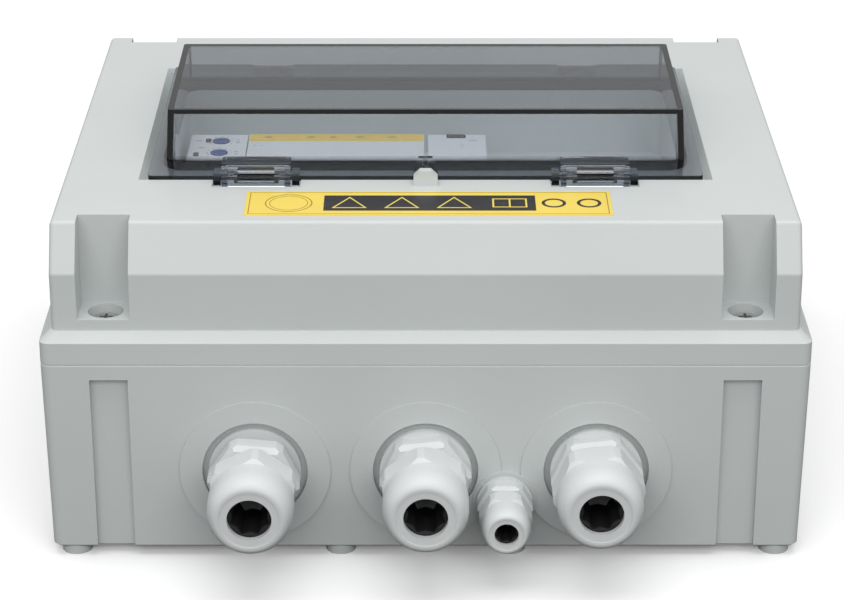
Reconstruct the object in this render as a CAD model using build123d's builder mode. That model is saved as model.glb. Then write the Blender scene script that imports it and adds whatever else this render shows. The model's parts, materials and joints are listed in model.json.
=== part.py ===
from build123d import *
from math import atan2, cos, pi, radians, sin, tan
import os

# Wall-mounting switchgear box laid on its back: X to the right, Y from the cable-gland wall to the
# hinge side, Z out of the wall. The origin is the centre of the four wall-screw holes, in the plane of
# the feet that rest on the wall.

# ---------------------------------------------------------------- enclosure, overall
box_width = 300.0
box_depth = 260.0
foot_height = 4.0
base_height = 80.0
base_draft = 1.1
box_corner_radius = 4.0
base_wall = 4.0
base_floor = 4.0
seam_z = foot_height + base_height
base_floor_z = foot_height + base_floor
seam_edge_break = 0.4

# ---------------------------------------------------------------- lid
rim_height = 9.3
ledge_rise = 3.7
crown_inset = 4.8
crown_top_z = 138.4
crown_shoulder_z = 120.3
crown_slope_run = 10.1
crown_edge_radius = 2.0
lid_wall = 3.0
rim_wall = 7.8
gasket_width = 2.4
gasket_height = 2.6
gasket_inset = 1.8

# ---------------------------------------------------------------- lid screws and wall screws
lid_screw_x = 124.8
lid_screw_y = 116.2
pocket_width = 20.6
pocket_back_y = 108.0
pocket_floor_z = 101.3
pocket_liner = 3.0
screw_seat_z = 95.6
counterbore_radius = 7.0
lid_column_radius = 9.5
lid_screw_radius = 2.4
lid_screw_head_radius = 4.8
lid_screw_head_height = 3.4
lid_screw_tip_z = 71.0
insert_radius = 3.5
insert_bore_radius = 2.5
insert_length = 14.0
pillar_radius = 6.5
wall_screw_x = 140.0
wall_screw_y = 122.0
wall_screw_radius = 2.6
foot_radius = 6.0
middle_foot_x = 34.0
groove_width = 15.0
groove_depth = 3.8
groove_top_z = 77.8
groove_lining = 3.5

# ---------------------------------------------------------------- window bay, well and window
bay_half_width = 115.0
bay_half_depth = 70.0
bay_floor_z = 134.4
bay_slab_z = 131.4
bay_side_bevel = 2.5
well_half_width = 104.0
well_front_y = -50.0
well_rear_y = 46.5
well_corner_radius = 6.0
well_wall = 2.5
well_floor_z = 107.5
slot_half_width = 102.0
slot_half_depth = 23.5
window_half_width = 111.3
window_front_y = -69.5
window_rear_y = 68.0
window_seat_z = 137.7
window_plate = 2.2
window_top_z = window_seat_z + window_plate
window_corner_radius = 2.0
hood_foot_half_width = 105.4
hood_foot_front_y = -50.8
hood_foot_rear_y = 50.0
hood_top_half_width = 104.9
hood_top_front_y = -43.6
hood_top_rear_y = 42.6
hood_top_z = 158.8
hood_corner_radius = 1.2
hood_wall = 2.4
seal_gap = 0.3
seal_width = 2.6

# ---------------------------------------------------------------- window hinge
hinge_x = 67.5
hinge_y = 66.0
hinge_z = 137.3
hinge_pin_radius = 1.34
hinge_bore_radius = 1.4
knuckle_radius = 2.6
knuckle_half_width = 5.0
cheek_gap = 0.4
cheek_thickness = 3.0
cheek_front_y = 63.4
hinge_bar_front_y = 68.9
hinge_bar_rear_y = 69.8
hinge_arm_half_width = 2.75
hinge_arm_depth = 2.1

# ---------------------------------------------------------------- window latch clips
clip_x = 67.5
clip_half_width = 13.75
clip_axis_y = -71.4
clip_axis_z = 140.2
clip_outer_radius = 5.9
clip_shell = 2.2
clip_tail_y = -64.0
clip_hook_angle = 215.0
clip_rail = 2.4
clip_knuckle_radius = 3.0
clip_bore_radius = 1.56
clip_barrel_half_width = 8.9
clip_pocket_half_width = 7.3
clip_pocket_rear_y = -74.2
clip_corner_radius = 1.5
clip_pin_radius = 1.5
clip_barrel_radius = 2.6
lug_gap = 0.45
lug_thickness = 3.0
lug_front_y = -74.4
lug_top_z = 142.8
clip_notch_front_y = -77.7
clip_notch_rear_y = -68.0
clip_notch_floor_z = 133.8
lug_notch_floor_z = 137.0

# ---------------------------------------------------------------- sealing post and hook
post_width = 9.6
post_front_y = -76.5
post_rear_y = -72.6
post_height = 6.0
post_bevel = 2.6
hook_root_width = 10.4
hook_tip_width = 5.6
hook_height = 7.7
hook_thickness = 2.0
hook_eye_radius = 1.3

# ---------------------------------------------------------------- label
label_width = 143.3
label_centre_x = 1.1
label_front_y = -109.4
label_depth = 25.9
label_thickness = 0.3

# ---------------------------------------------------------------- small gaps, edges and cut allowances
overcut = 1.0
base_edge_break = 0.8
cavity_corner_radius = 3.0
groove_offset = 1.3
ledge_overlap = 0.6
screw_head_edge_radius = 1.2
cross_length = 5.2
cross_width = 1.1
cross_depth = 1.8
insert_gap = 0.5
hinge_bore_length = 30.0
clip_bore_length = 40.0
clip_pocket_reach = 8.0
clip_pocket_dip = 0.2
hook_eye_lift = 0.6
notch_gap = 0.4
lid_screw_gap = 0.2
claw_end_gap = 0.6
claw_slot_length = 4.0
claw_slot_width = 1.2
seal_setback = 3.0
seal_end_gap = 0.3
washer_gap = 0.2
label_corner_radius = 1.0
support_corner_radius = 2.0
support_slot_width = 6.0
support_slot_depth = 12.0
slot_length = 4.4
slot_width = 0.9
slot_depth = 1.2
rail_gap = 0.2

# ---------------------------------------------------------------- cable glands
knockout_radius = 29.8
knockout_face_y = -130.3
recess_radius = 20.8
recess_seat_y = -127.0
inner_boss_radius = 24.0
inner_boss_y = -122.5
small_boss_radius = 12.6
small_seat_y = -130.9
gland_pitch = 67.3
gland_z = 38.5
small_gland_x = 31.3
small_gland_z = 25.7
small_locknut_seat_radius = 13.0
face_rim_height = 0.4
large_gland_hole_radius = 12.6
small_gland_hole_radius = 8.1

# ---------------------------------------------------------------- rail and devices
rail_half_length = 112.0
rail_top_z = 64.0
rail_height = 7.5
rail_width = 35.0
rail_web_width = 27.0
rail_steel = 1.0
support_x = 96.0
support_width = 14.0
support_depth = 40.0
support_slot_length = support_depth - 14.0
rail_screw_radius = 1.9
rail_screw_head_radius = 3.8
rail_screw_head_height = 2.0
device_face_z = 124.3
device_shoulder_z = 101.5
device_back_z = 60.5
device_nose_half_depth = 22.5
device_body_half_depth = 44.0
relay_left_x = -101.0
relay_right_x = -76.5
contactor_left_x = -76.0
contactor_right_x = -0.5
aux_left_x = 1.2
aux_right_x = 26.0
device_edge_radius = 0.8
terminal_y = 33.0
terminal_recess_radius = 2.9
terminal_recess_depth = 4.0
terminal_screw_radius = 2.4
terminal_screw_height = 2.4
wire_entry = 6.0
wire_entry_depth = 9.0
wire_entry_z = 90.0
dial_x = -87.8
dial_rear_y = 14.0
dial_front_y = -0.4
dial_radius = 3.45
dial_well_radius = 4.0
dial_well_depth = 1.2
dial_stand = 0.3
dial_shaft_radius = 1.5
dial_shaft_bore = 1.56
dial_shaft_length = 4.0
marker_depth = 8.6
trim_thickness = 0.4

# ---------------------------------------------------------------- earth and neutral bars
bar_length = 92.0
bar_width = 6.5
bar_height = 9.0
bar_y = 88.0
earth_bar_x = -60.0
neutral_bar_x = 60.0
bar_holder_height = 10.0
bar_holder_width = 14.0
bar_holder_lip = 4.0
bar_ways = 8
bar_wire_radius = 2.6
bar_screw_radius = 2.4


def save(piece, name):
    """Label a finished sub-part and write it as its own STEP file."""
    piece.part.label = name
    export_step(piece.part, f"parts/{name}.step")


def box_between(low, high, mode=Mode.ADD):
    """An axis-aligned block from its lowest to its highest corner, inside the open part."""
    with Locations([tuple((a + b) / 2 for a, b in zip(low, high))]):
        Box(high[0] - low[0], high[1] - low[1], high[2] - low[2], mode=mode)


def rod_x(centre_x, y, z, radius, length, mode=Mode.ADD):
    """A round bar along X, centred at centre_x."""
    with Locations(Location((centre_x, y, z), (0, 90, 0))):
        Cylinder(radius, length, mode=mode)


def rounded_section(height, width, depth):
    """A level rounded rectangle at a height, as one face."""
    with BuildSketch(Plane.XY.offset(height)) as section:
        RectangleRounded(width, depth, box_corner_radius)
    return section.sketch.face()


def stacked_block(sections):
    """A rounded block through a list of (height, width, depth) sections, joined by flat flanks."""
    faces = [rounded_section(*section) for section in sections]
    for lower, upper in zip(faces, faces[1:]):
        loft(sections=[lower, upper], ruled=True)


def tapered_hood(inset, foot_z, top_z):
    """The window's hood as a solid with sloped walls, moved inwards by a wall thickness."""
    sections = []
    for height in (foot_z, top_z):
        share = (height - window_top_z) / (hood_top_z - window_top_z)
        half_width = hood_foot_half_width + share * (hood_top_half_width - hood_foot_half_width)
        front = hood_foot_front_y + share * (hood_top_front_y - hood_foot_front_y)
        rear = hood_foot_rear_y + share * (hood_top_rear_y - hood_foot_rear_y)
        with BuildSketch(Plane.XY.offset(height)) as section:
            with Locations((0, (front + rear) / 2)):
                RectangleRounded(2 * (half_width - inset), rear - front - 2 * inset, hood_corner_radius)
        sections.append(section.sketch.face())
    return sections


def corners(x, y):
    """The four mirrored positions of a feature."""
    return [(sx * x, sy * y) for sx in (-1, 1) for sy in (-1, 1)]


os.makedirs("parts", exist_ok=True)

# ================================================================ base shell
pocket_half = pocket_width / 2
wall_inner_x = box_width / 2 - base_wall - base_edge_break
wall_inner_y = box_depth / 2 - base_wall - base_edge_break
underside_inset = base_draft + base_edge_break

with BuildPart() as base_shell:
    stacked_block(
        [
            (foot_height, box_width - 2 * underside_inset, box_depth - 2 * underside_inset),
            (foot_height + base_edge_break, box_width - 2 * base_draft, box_depth - 2 * base_draft),
            (seam_z - seam_edge_break, box_width, box_depth),
            (seam_z, box_width - 2 * seam_edge_break, box_depth - 2 * seam_edge_break),
        ]
    )
    # cable space
    with BuildSketch(Plane.XY.offset(base_floor_z)):
        RectangleRounded(2 * wall_inner_x, 2 * wall_inner_y, cavity_corner_radius)
    extrude(amount=base_height, mode=Mode.SUBTRACT)
    # pillars for the lid screws, grown into the lining of the outside grooves
    with BuildSketch(Plane.XY.offset(base_floor_z - overcut)):
        with Locations(corners(lid_screw_x, lid_screw_y)):
            Circle(pillar_radius)
        with Locations(corners(lid_screw_x - groove_offset, wall_inner_y - overcut)):
            Rectangle(groove_width + 2 * groove_lining, 2 * groove_lining)
    extrude(amount=seam_z - base_floor_z + overcut)
    # outside grooves, open at the foot of the wall
    for side_x in (-1, 1):
        for side_y in (-1, 1):
            near = side_y * (box_depth / 2 - groove_depth)
            far = side_y * (box_depth / 2 + overcut)
            centre = side_x * (lid_screw_x - groove_offset)
            box_between(
                (centre - groove_width / 2, min(near, far), 0.0),
                (centre + groove_width / 2, max(near, far), groove_top_z),
                mode=Mode.SUBTRACT,
            )
    # feet: corner feet surround the wall screws, middle feet are plain
    with BuildSketch(Plane.XY):
        with Locations(corners(wall_screw_x, wall_screw_y) + corners(middle_foot_x, wall_screw_y)):
            Circle(foot_radius)
    extrude(amount=foot_height + overcut)
    with BuildSketch(Plane.XY.offset(-1.0)):
        with Locations(corners(wall_screw_x, wall_screw_y)):
            Circle(wall_screw_radius)
    extrude(amount=base_floor_z + 2 * overcut, mode=Mode.SUBTRACT)
    # knock-out discs on the gland wall, with a sunk seat for each large gland
    with BuildSketch(Plane.XZ.offset(-knockout_face_y)):
        with Locations([(column * gland_pitch, gland_z) for column in (-1, 0, 1)]):
            Circle(knockout_radius)
    extrude(amount=knockout_face_y - overcut + wall_inner_y)
    with BuildSketch(Plane.XZ.offset(-small_seat_y)):
        with Locations((small_gland_x, small_gland_z)):
            Circle(small_boss_radius)
    extrude(amount=small_seat_y - overcut + wall_inner_y)
    with BuildSketch(Plane.XZ.offset(-inner_boss_y)):
        with Locations([(column * gland_pitch, gland_z) for column in (-1, 0, 1)]):
            Circle(inner_boss_radius)
    extrude(amount=wall_inner_y + inner_boss_y + overcut)
    with BuildSketch(Plane.XZ.offset(-recess_seat_y)):
        with Locations([(column * gland_pitch, gland_z) for column in (-1, 0, 1)]):
            Circle(recess_radius)
    extrude(amount=10.0, mode=Mode.SUBTRACT)
    with BuildSketch(Plane.XZ.offset(-inner_boss_y - 2 * overcut)):
        with Locations([(column * gland_pitch, gland_z) for column in (-1, 0, 1)]):
            Circle(large_gland_hole_radius)
        with Locations((small_gland_x, small_gland_z)):
            Circle(small_gland_hole_radius)
    extrude(amount=20.0, mode=Mode.SUBTRACT)
    # flat seat inside for the small gland's locknut
    with BuildSketch(Plane.XZ.offset(wall_inner_y)):
        with Locations((small_gland_x, small_gland_z)):
            Circle(small_locknut_seat_radius)
    extrude(amount=-5.0, mode=Mode.SUBTRACT)
    # seats for the brass inserts
    with BuildSketch(Plane.XY.offset(seam_z - insert_length - 2 * overcut)):
        with Locations(corners(lid_screw_x, lid_screw_y)):
            Circle(insert_radius)
    extrude(amount=insert_length + 3 * overcut, mode=Mode.SUBTRACT)
save(base_shell, "base_shell")

# ================================================================ lid
crown_half_width = box_width / 2 - crown_inset
crown_half_depth = box_depth / 2 - crown_inset
crown_top_half_depth = crown_half_depth - crown_slope_run
rim_top_z = seam_z + rim_height
ledge_z = rim_top_z + ledge_rise
inner_x = box_width / 2 - rim_wall
inner_y = box_depth / 2 - rim_wall
well_depth = well_rear_y - well_front_y
well_centre_y = (well_rear_y + well_front_y) / 2

crown_slope = atan2(crown_slope_run, crown_top_z - crown_shoulder_z)


def crown_outline(inset):
    """The crown's section across X, moved inwards by a wall thickness."""
    half = crown_half_depth - inset
    shoulder = crown_shoulder_z - inset * tan(crown_slope / 2)
    top_half = crown_top_half_depth - inset * tan((pi / 2 - crown_slope) / 2)
    right = [(half, seam_z), (half, shoulder), (top_half, crown_top_z - inset)]
    left = [(-y, z) for y, z in reversed(right)]
    return right + left


with BuildPart() as crown:
    with BuildSketch(Plane.YZ):
        with BuildLine():
            Polyline(*crown_outline(0.0), close=True)
        make_face()
    extrude(amount=crown_half_width, both=True)
    fillet(
        crown.edges().filter_by(lambda edge: edge.bounding_box().max.Z > seam_z + overcut),
        crown_edge_radius,
    )

with BuildPart() as lid_hollow:
    with BuildSketch(Plane.YZ):
        with BuildLine():
            Polyline(*crown_outline(lid_wall), close=True)
        make_face()
    extrude(amount=crown_half_width - lid_wall, both=True)
    with BuildSketch(Plane.XY.offset(seam_z)):
        RectangleRounded(2 * inner_x, 2 * inner_y, cavity_corner_radius)
    extrude(amount=rim_height)
    # linings of the screw pockets and columns under them
    for side_x, side_y in corners(1, 1):
        pocket_x = side_x * lid_screw_x
        reach = pocket_half + pocket_liner
        near = side_y * (pocket_back_y - pocket_liner)
        far = side_y * box_depth / 2
        box_between(
            (pocket_x - reach, min(near, far), pocket_floor_z - lid_wall),
            (pocket_x + reach, max(near, far), crown_top_z),
            mode=Mode.SUBTRACT,
        )
    with BuildSketch(Plane.XY.offset(seam_z)):
        with Locations(corners(lid_screw_x, lid_screw_y)):
            Circle(lid_column_radius)
    extrude(amount=pocket_floor_z - seam_z, mode=Mode.SUBTRACT)
    # slab under the window bay, and the walls and floor of the well
    box_between(
        (-bay_half_width - lid_wall, clip_notch_front_y - lid_wall, bay_slab_z),
        (bay_half_width + lid_wall, bay_half_depth + lid_wall, crown_top_z),
        mode=Mode.SUBTRACT,
    )
    with BuildSketch(Plane.XY.offset(well_floor_z - well_wall)):
        with Locations((0, well_centre_y)):
            RectangleRounded(
                2 * (well_half_width + well_wall), well_depth + 2 * well_wall, well_corner_radius + well_wall
            )
    extrude(amount=crown_top_z - well_floor_z + well_wall, mode=Mode.SUBTRACT)

ledge_inset = crown_inset - ledge_overlap
with BuildPart() as lid_cover:
    stacked_block(
        [
            (seam_z, box_width - 2 * seam_edge_break, box_depth - 2 * seam_edge_break),
            (seam_z + seam_edge_break, box_width, box_depth),
            (rim_top_z, box_width, box_depth),
            (ledge_z, box_width - 2 * ledge_inset, box_depth - 2 * ledge_inset),
        ]
    )
    add(crown.part)
    add(lid_hollow.part, mode=Mode.SUBTRACT)
    # gasket groove
    with BuildSketch(Plane.XY.offset(seam_z)):
        RectangleRounded(box_width - 2 * gasket_inset, box_depth - 2 * gasket_inset, cavity_corner_radius)
        RectangleRounded(
            box_width - 2 * (gasket_inset + gasket_width),
            box_depth - 2 * (gasket_inset + gasket_width),
            1.0,
            mode=Mode.SUBTRACT,
        )
    extrude(amount=gasket_height, mode=Mode.SUBTRACT)
    # window bay with bevelled sides
    with BuildSketch(Plane.XZ.offset(-bay_half_depth)):
        with BuildLine():
            Polyline(
                (-bay_half_width, crown_top_z + overcut),
                (-bay_half_width, crown_top_z),
                (-bay_half_width + bay_side_bevel, bay_floor_z),
                (bay_half_width - bay_side_bevel, bay_floor_z),
                (bay_half_width, crown_top_z),
                (bay_half_width, crown_top_z + overcut),
                close=True,
            )
        make_face()
    extrude(amount=2 * bay_half_depth, mode=Mode.SUBTRACT)
    # well for the device faces, with the slot in its floor
    with BuildSketch(Plane.XY.offset(well_floor_z)):
        with Locations((0, well_centre_y)):
            RectangleRounded(2 * well_half_width, well_depth, well_corner_radius)
    extrude(amount=crown_top_z - well_floor_z, mode=Mode.SUBTRACT)
    box_between(
        (-slot_half_width, -slot_half_depth, well_floor_z - well_wall - overcut),
        (slot_half_width, slot_half_depth, well_floor_z + overcut),
        mode=Mode.SUBTRACT,
    )
    # notches for the latch clips, deep under the clip and shallow under its lugs
    for side in (-1, 1):
        for reach, floor_z in (
            (clip_half_width + lug_gap, clip_notch_floor_z),
            (clip_half_width + lug_gap + lug_thickness + notch_gap, lug_notch_floor_z),
        ):
            box_between(
                (side * clip_x - reach, clip_notch_front_y, floor_z),
                (side * clip_x + reach, clip_notch_rear_y, crown_top_z + overcut),
                mode=Mode.SUBTRACT,
            )
    # corner screw pockets, counterbores and screw holes
    for side_x, side_y in corners(1, 1):
        pocket_x = side_x * lid_screw_x
        near = side_y * pocket_back_y
        far = side_y * (box_depth / 2 + overcut)
        box_between(
            (pocket_x - pocket_half, min(near, far), pocket_floor_z),
            (pocket_x + pocket_half, max(near, far), crown_top_z + overcut),
            mode=Mode.SUBTRACT,
        )
    with Locations([(x, y, pocket_floor_z) for x, y in corners(lid_screw_x, lid_screw_y)]):
        CounterBoreHole(
            radius=lid_screw_radius + lid_screw_gap,
            counter_bore_radius=counterbore_radius,
            counter_bore_depth=pocket_floor_z - screw_seat_z,
            depth=pocket_floor_z - seam_z + overcut,
        )
    # sealing post in front of the bay
    with BuildSketch(Plane.XZ.offset(-post_rear_y)):
        with BuildLine():
            post_half = post_width / 2
            post_top = crown_top_z + post_height
            Polyline(
                (-post_half, crown_top_z - overcut),
                (-post_half, post_top - post_bevel),
                (-post_half + post_bevel, post_top),
                (post_half - post_bevel, post_top),
                (post_half, post_top - post_bevel),
                (post_half, crown_top_z - overcut),
                close=True,
            )
        make_face()
    extrude(amount=post_rear_y - post_front_y)
save(lid_cover, "lid_cover")

with BuildPart() as lid_gasket:
    with BuildSketch(Plane.XY.offset(seam_z)):
        RectangleRounded(box_width - 2 * gasket_inset, box_depth - 2 * gasket_inset, cavity_corner_radius)
        RectangleRounded(
            box_width - 2 * (gasket_inset + gasket_width),
            box_depth - 2 * (gasket_inset + gasket_width),
            1.0,
            mode=Mode.SUBTRACT,
        )
    extrude(amount=gasket_height)
save(lid_gasket, "lid_gasket")

with BuildPart() as rating_label:
    with BuildSketch(Plane.XY.offset(crown_top_z)):
        with Locations((label_centre_x, label_front_y + label_depth / 2)):
            RectangleRounded(label_width, label_depth, label_corner_radius)
    extrude(amount=label_thickness)
save(rating_label, "rating_label")

# ================================================================ lid screws and brass inserts
with BuildPart() as lid_screws:
    with BuildSketch(Plane.XY.offset(lid_screw_tip_z)):
        with Locations(corners(lid_screw_x, lid_screw_y)):
            Circle(lid_screw_radius)
    extrude(amount=screw_seat_z - lid_screw_tip_z)
    with BuildSketch(Plane.XY.offset(screw_seat_z)):
        with Locations(corners(lid_screw_x, lid_screw_y)):
            Circle(lid_screw_head_radius)
    extrude(amount=lid_screw_head_height)
    fillet(lid_screws.faces().sort_by(Axis.Z)[-4:].edges(), screw_head_edge_radius)
    with BuildSketch(Plane.XY.offset(screw_seat_z + lid_screw_head_height)):
        with Locations(corners(lid_screw_x, lid_screw_y)):
            Rectangle(cross_length, cross_width)
            Rectangle(cross_width, cross_length)
    extrude(amount=-cross_depth, mode=Mode.SUBTRACT)
save(lid_screws, "lid_screws")

with BuildPart() as screw_inserts:
    with BuildSketch(Plane.XY.offset(seam_z - insert_length - insert_gap)):
        with Locations(corners(lid_screw_x, lid_screw_y)):
            Circle(insert_radius)
            Circle(insert_bore_radius, mode=Mode.SUBTRACT)
    extrude(amount=insert_length)
save(screw_inserts, "screw_inserts")

# ================================================================ window
hinge_reach = knuckle_half_width + cheek_gap + cheek_thickness
hinge_arm_front_y = well_rear_y + seal_gap + seal_width + 0.4

with BuildPart() as window_cover:
    window_depth = window_rear_y - window_front_y
    with BuildSketch(Plane.XY.offset(window_seat_z)):
        with Locations((0, (window_rear_y + window_front_y) / 2)):
            RectangleRounded(2 * window_half_width, window_depth, window_corner_radius)
    extrude(amount=window_plate)
    loft(sections=tapered_hood(0.0, window_top_z - overcut, hood_top_z), ruled=True)
    loft(
        sections=tapered_hood(hood_wall, window_seat_z - overcut, hood_top_z - hood_wall),
        ruled=True,
        mode=Mode.SUBTRACT,
    )
    for side in (-1, 1):
        # gap in the plate for each latch clip, with the lugs and barrel that carry it
        gap_half = clip_half_width + lug_gap
        box_between(
            (side * clip_x - gap_half, window_front_y - overcut, window_seat_z - overcut),
            (side * clip_x + gap_half, clip_notch_rear_y - 0.2, window_top_z + overcut),
            mode=Mode.SUBTRACT,
        )
        for end in (-1, 1):
            inner = side * clip_x + end * gap_half
            outer = side * clip_x + end * (gap_half + lug_thickness)
            box_between(
                (min(inner, outer), lug_front_y, window_seat_z),
                (max(inner, outer), clip_notch_rear_y, lug_top_z),
            )
        rod_x(side * clip_x, clip_axis_y, clip_axis_z, clip_pin_radius, 2 * gap_half + overcut)
        rod_x(side * clip_x, clip_axis_y, clip_axis_z, clip_barrel_radius, 2 * clip_barrel_half_width)
        # notch in the plate's rear edge for the hinge cheeks, arm under the plate, and knuckle
        box_between(
            (side * hinge_x - hinge_reach - cheek_gap, hinge_y, window_seat_z - overcut),
            (side * hinge_x + hinge_reach + cheek_gap, window_rear_y + overcut, window_top_z + overcut),
            mode=Mode.SUBTRACT,
        )
        for end in (-1, 1):
            inner = side * hinge_x + end * knuckle_half_width
            outer = side * hinge_x + end * (hinge_reach + cheek_gap)
            box_between(
                (min(inner, outer), cheek_front_y - cheek_gap, window_seat_z - overcut),
                (max(inner, outer), window_rear_y + overcut, window_top_z + overcut),
                mode=Mode.SUBTRACT,
            )
        box_between(
            (side * hinge_x - hinge_arm_half_width, hinge_arm_front_y, window_seat_z - hinge_arm_depth),
            (side * hinge_x + hinge_arm_half_width, hinge_y, window_seat_z + 0.1),
        )
        rod_x(side * hinge_x, hinge_y, hinge_z, knuckle_radius, 2 * knuckle_half_width)
        rod_x(side * hinge_x, hinge_y, hinge_z, hinge_bore_radius, hinge_bore_length, mode=Mode.SUBTRACT)
    # sealing hook behind the lid's post
    with BuildSketch(Plane.XZ.offset(-window_front_y - hook_thickness)):
        with BuildLine():
            hook_tip_z = window_top_z + hook_height
            Polyline(
                (-hook_root_width / 2, window_top_z - overcut),
                (-hook_root_width / 2, window_top_z),
                (-hook_tip_width / 2, hook_tip_z),
                (hook_tip_width / 2, hook_tip_z),
                (hook_root_width / 2, window_top_z),
                (hook_root_width / 2, window_top_z - overcut),
                close=True,
            )
        make_face()
        with Locations((0, crown_top_z + post_height + hook_eye_lift)):
            Circle(hook_eye_radius, mode=Mode.SUBTRACT)
    extrude(amount=hook_thickness)
save(window_cover, "window_cover")

with BuildPart() as window_seal:
    with BuildSketch(Plane.XY.offset(bay_floor_z)):
        with Locations((0, well_centre_y)):
            for grow, mode in ((seal_gap + seal_width, Mode.ADD), (seal_gap, Mode.SUBTRACT)):
                RectangleRounded(
                    2 * (well_half_width + grow), well_depth + 2 * grow, well_corner_radius + grow, mode=mode
                )
    extrude(amount=window_seat_z - bay_floor_z)
save(window_seal, "window_seal")

# ================================================================ window hinge brackets and pins
for side, side_name in ((-1, "left"), (1, "right")):
    with BuildPart() as hinge_bracket:
        for end in (-1, 1):
            inner = side * hinge_x + end * (knuckle_half_width + cheek_gap)
            outer = side * hinge_x + end * hinge_reach
            rod_x((inner + outer) / 2, hinge_y, hinge_z, knuckle_radius, cheek_thickness)
            box_between(
                (min(inner, outer), cheek_front_y, bay_floor_z),
                (max(inner, outer), hinge_bar_rear_y, hinge_z),
            )
        box_between(
            (side * hinge_x - hinge_reach, hinge_bar_front_y, bay_floor_z),
            (side * hinge_x + hinge_reach, hinge_bar_rear_y, hinge_z),
        )
        rod_x(side * hinge_x, hinge_y, hinge_z, hinge_pin_radius, hinge_bore_length, mode=Mode.SUBTRACT)
    save(hinge_bracket, f"hinge_bracket_{side_name}")

with BuildPart() as hinge_pins:
    for side in (-1, 1):
        rod_x(side * hinge_x, hinge_y, hinge_z, hinge_pin_radius, 2 * hinge_reach)
save(hinge_pins, "hinge_pins")

# ================================================================ latch clips
tail_low = clip_axis_z + clip_outer_radius - clip_shell
tail_high = clip_axis_z + clip_outer_radius
hook_end = (
    clip_axis_y + clip_outer_radius * cos(radians(clip_hook_angle)),
    clip_axis_z + clip_outer_radius * sin(radians(clip_hook_angle)),
)
for side, side_name in ((-1, "left"), (1, "right")):
    with BuildPart() as latch_clip:
        # shell that wraps over the front of the barrel, from the top round to the hook end
        with BuildSketch(Plane.YZ.offset(side * clip_x - clip_half_width)):
            with BuildLine():
                CenterArc((clip_axis_y, clip_axis_z), clip_outer_radius, 90, clip_hook_angle - 90)
                Line(hook_end, (clip_axis_y, clip_axis_z))
                Line((clip_axis_y, clip_axis_z), (clip_axis_y, tail_high))
            make_face()
        extrude(amount=2 * clip_half_width)
        box_between(
            (side * clip_x - clip_half_width, clip_axis_y, tail_low),
            (side * clip_x + clip_half_width, clip_tail_y, tail_high),
        )
        rod_x(side * clip_x, clip_axis_y, clip_axis_z, clip_knuckle_radius, 2 * clip_half_width)
        # room for the barrel between the side rails
        rod_x(
            side * clip_x,
            clip_axis_y,
            clip_axis_z,
            clip_outer_radius - clip_shell,
            2 * (clip_half_width - clip_rail),
            mode=Mode.SUBTRACT,
        )
        rod_x(side * clip_x, clip_axis_y, clip_axis_z, clip_bore_radius, clip_bore_length, mode=Mode.SUBTRACT)
        # finger pocket through the front of the shell, down to its lower lip
        box_between(
            (
                side * clip_x - clip_pocket_half_width,
                clip_axis_y - clip_pocket_reach,
                clip_axis_z - clip_pocket_dip,
            ),
            (
                side * clip_x + clip_pocket_half_width,
                clip_pocket_rear_y,
                clip_axis_z + clip_pocket_reach,
            ),
            mode=Mode.SUBTRACT,
        )
        fillet(latch_clip.edges().filter_by(Axis.Z).group_by(Axis.Y)[-1], clip_corner_radius)
    save(latch_clip, f"latch_clip_{side_name}")

# ================================================================ cable glands
large_gland = {
    "flats": 33.0,
    "corner_radius": 18.1,
    "collar_radius": 18.2,
    "collar": 3.4,
    "washer_radius": 17.7,
    "washer": 1.2,
    "stand_off": 0.0,
    "hex": 8.6,
    "bevel": 2.4,
    "neck_radius": 15.6,
    "neck": 1.6,
    "male_radius": 14.6,
    "male": 10.6,
    "claw_outer": 13.0,
    "claw_inner": 10.9,
    "face_wall": 3.0,
    "body_bore": 9.4,
    "stem_radius": 12.4,
    "stem": 15.0,
    "locknut_flats": 30.0,
    "locknut": 5.0,
    "nut_flats": 32.4,
    "nut_corner_radius": 18.0,
    "nut_hex": 10.2,
    "dome_radius": 16.7,
    "nut_length": 26.6,
    "dome_start": 17.6,
    "face_radius": 12.4,
    "face_rim": 0.7,
    "mouth_radius": 8.6,
    "seal_outer": 10.7,
    "seal_inner": 6.6,
    "claw_slots": 8,
}
# the left gland stands off its flange ring, the middle one has its dome nut less far on
left_gland = {
    **large_gland,
    "collar_radius": 14.4,
    "collar": 1.6,
    "washer_radius": 18.2,
    "washer": 3.6,
    "stand_off": 3.4,
    "stem": 18.6,
}
middle_gland = {**large_gland, "neck": 3.6, "male": 9.2, "stand_off": 0.8, "stem": 15.8}
small_gland = {
    "flats": 20.4,
    "corner_radius": 10.9,
    "collar_radius": 11.2,
    "collar": 1.6,
    "washer_radius": 10.7,
    "washer": 1.0,
    "stand_off": 0.0,
    "hex": 6.6,
    "bevel": 1.6,
    "neck_radius": 9.0,
    "neck": 1.2,
    "male_radius": 8.2,
    "male": 7.6,
    "claw_outer": 7.0,
    "claw_inner": 5.9,
    "face_wall": 2.2,
    "body_bore": 5.2,
    "stem_radius": 7.9,
    "stem": 15.0,
    "locknut_flats": 21.0,
    "locknut": 4.5,
    "nut_flats": 19.0,
    "nut_corner_radius": 10.4,
    "nut_hex": 7.0,
    "dome_radius": 9.6,
    "nut_length": 18.8,
    "dome_start": 12.4,
    "face_radius": 7.2,
    "face_rim": 0.5,
    "mouth_radius": 4.7,
    "seal_outer": 5.8,
    "seal_inner": 3.6,
    "claw_slots": 6,
}


def gland_plane(x, z, seat_y, out):
    """Plane across a gland's axis, at a distance out from its seat, facing out of the box."""
    return Plane(origin=(x, seat_y - out, z), x_dir=(1, 0, 0), z_dir=(0, -1, 0))


def ring(plane, outer, inner, length, mode=Mode.ADD):
    """A straight tube on a plane."""
    with BuildSketch(plane) as section:
        Circle(outer)
        if inner > 0:
            Circle(inner, mode=Mode.SUBTRACT)
    extrude(section.sketch, amount=length, mode=mode)


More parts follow.
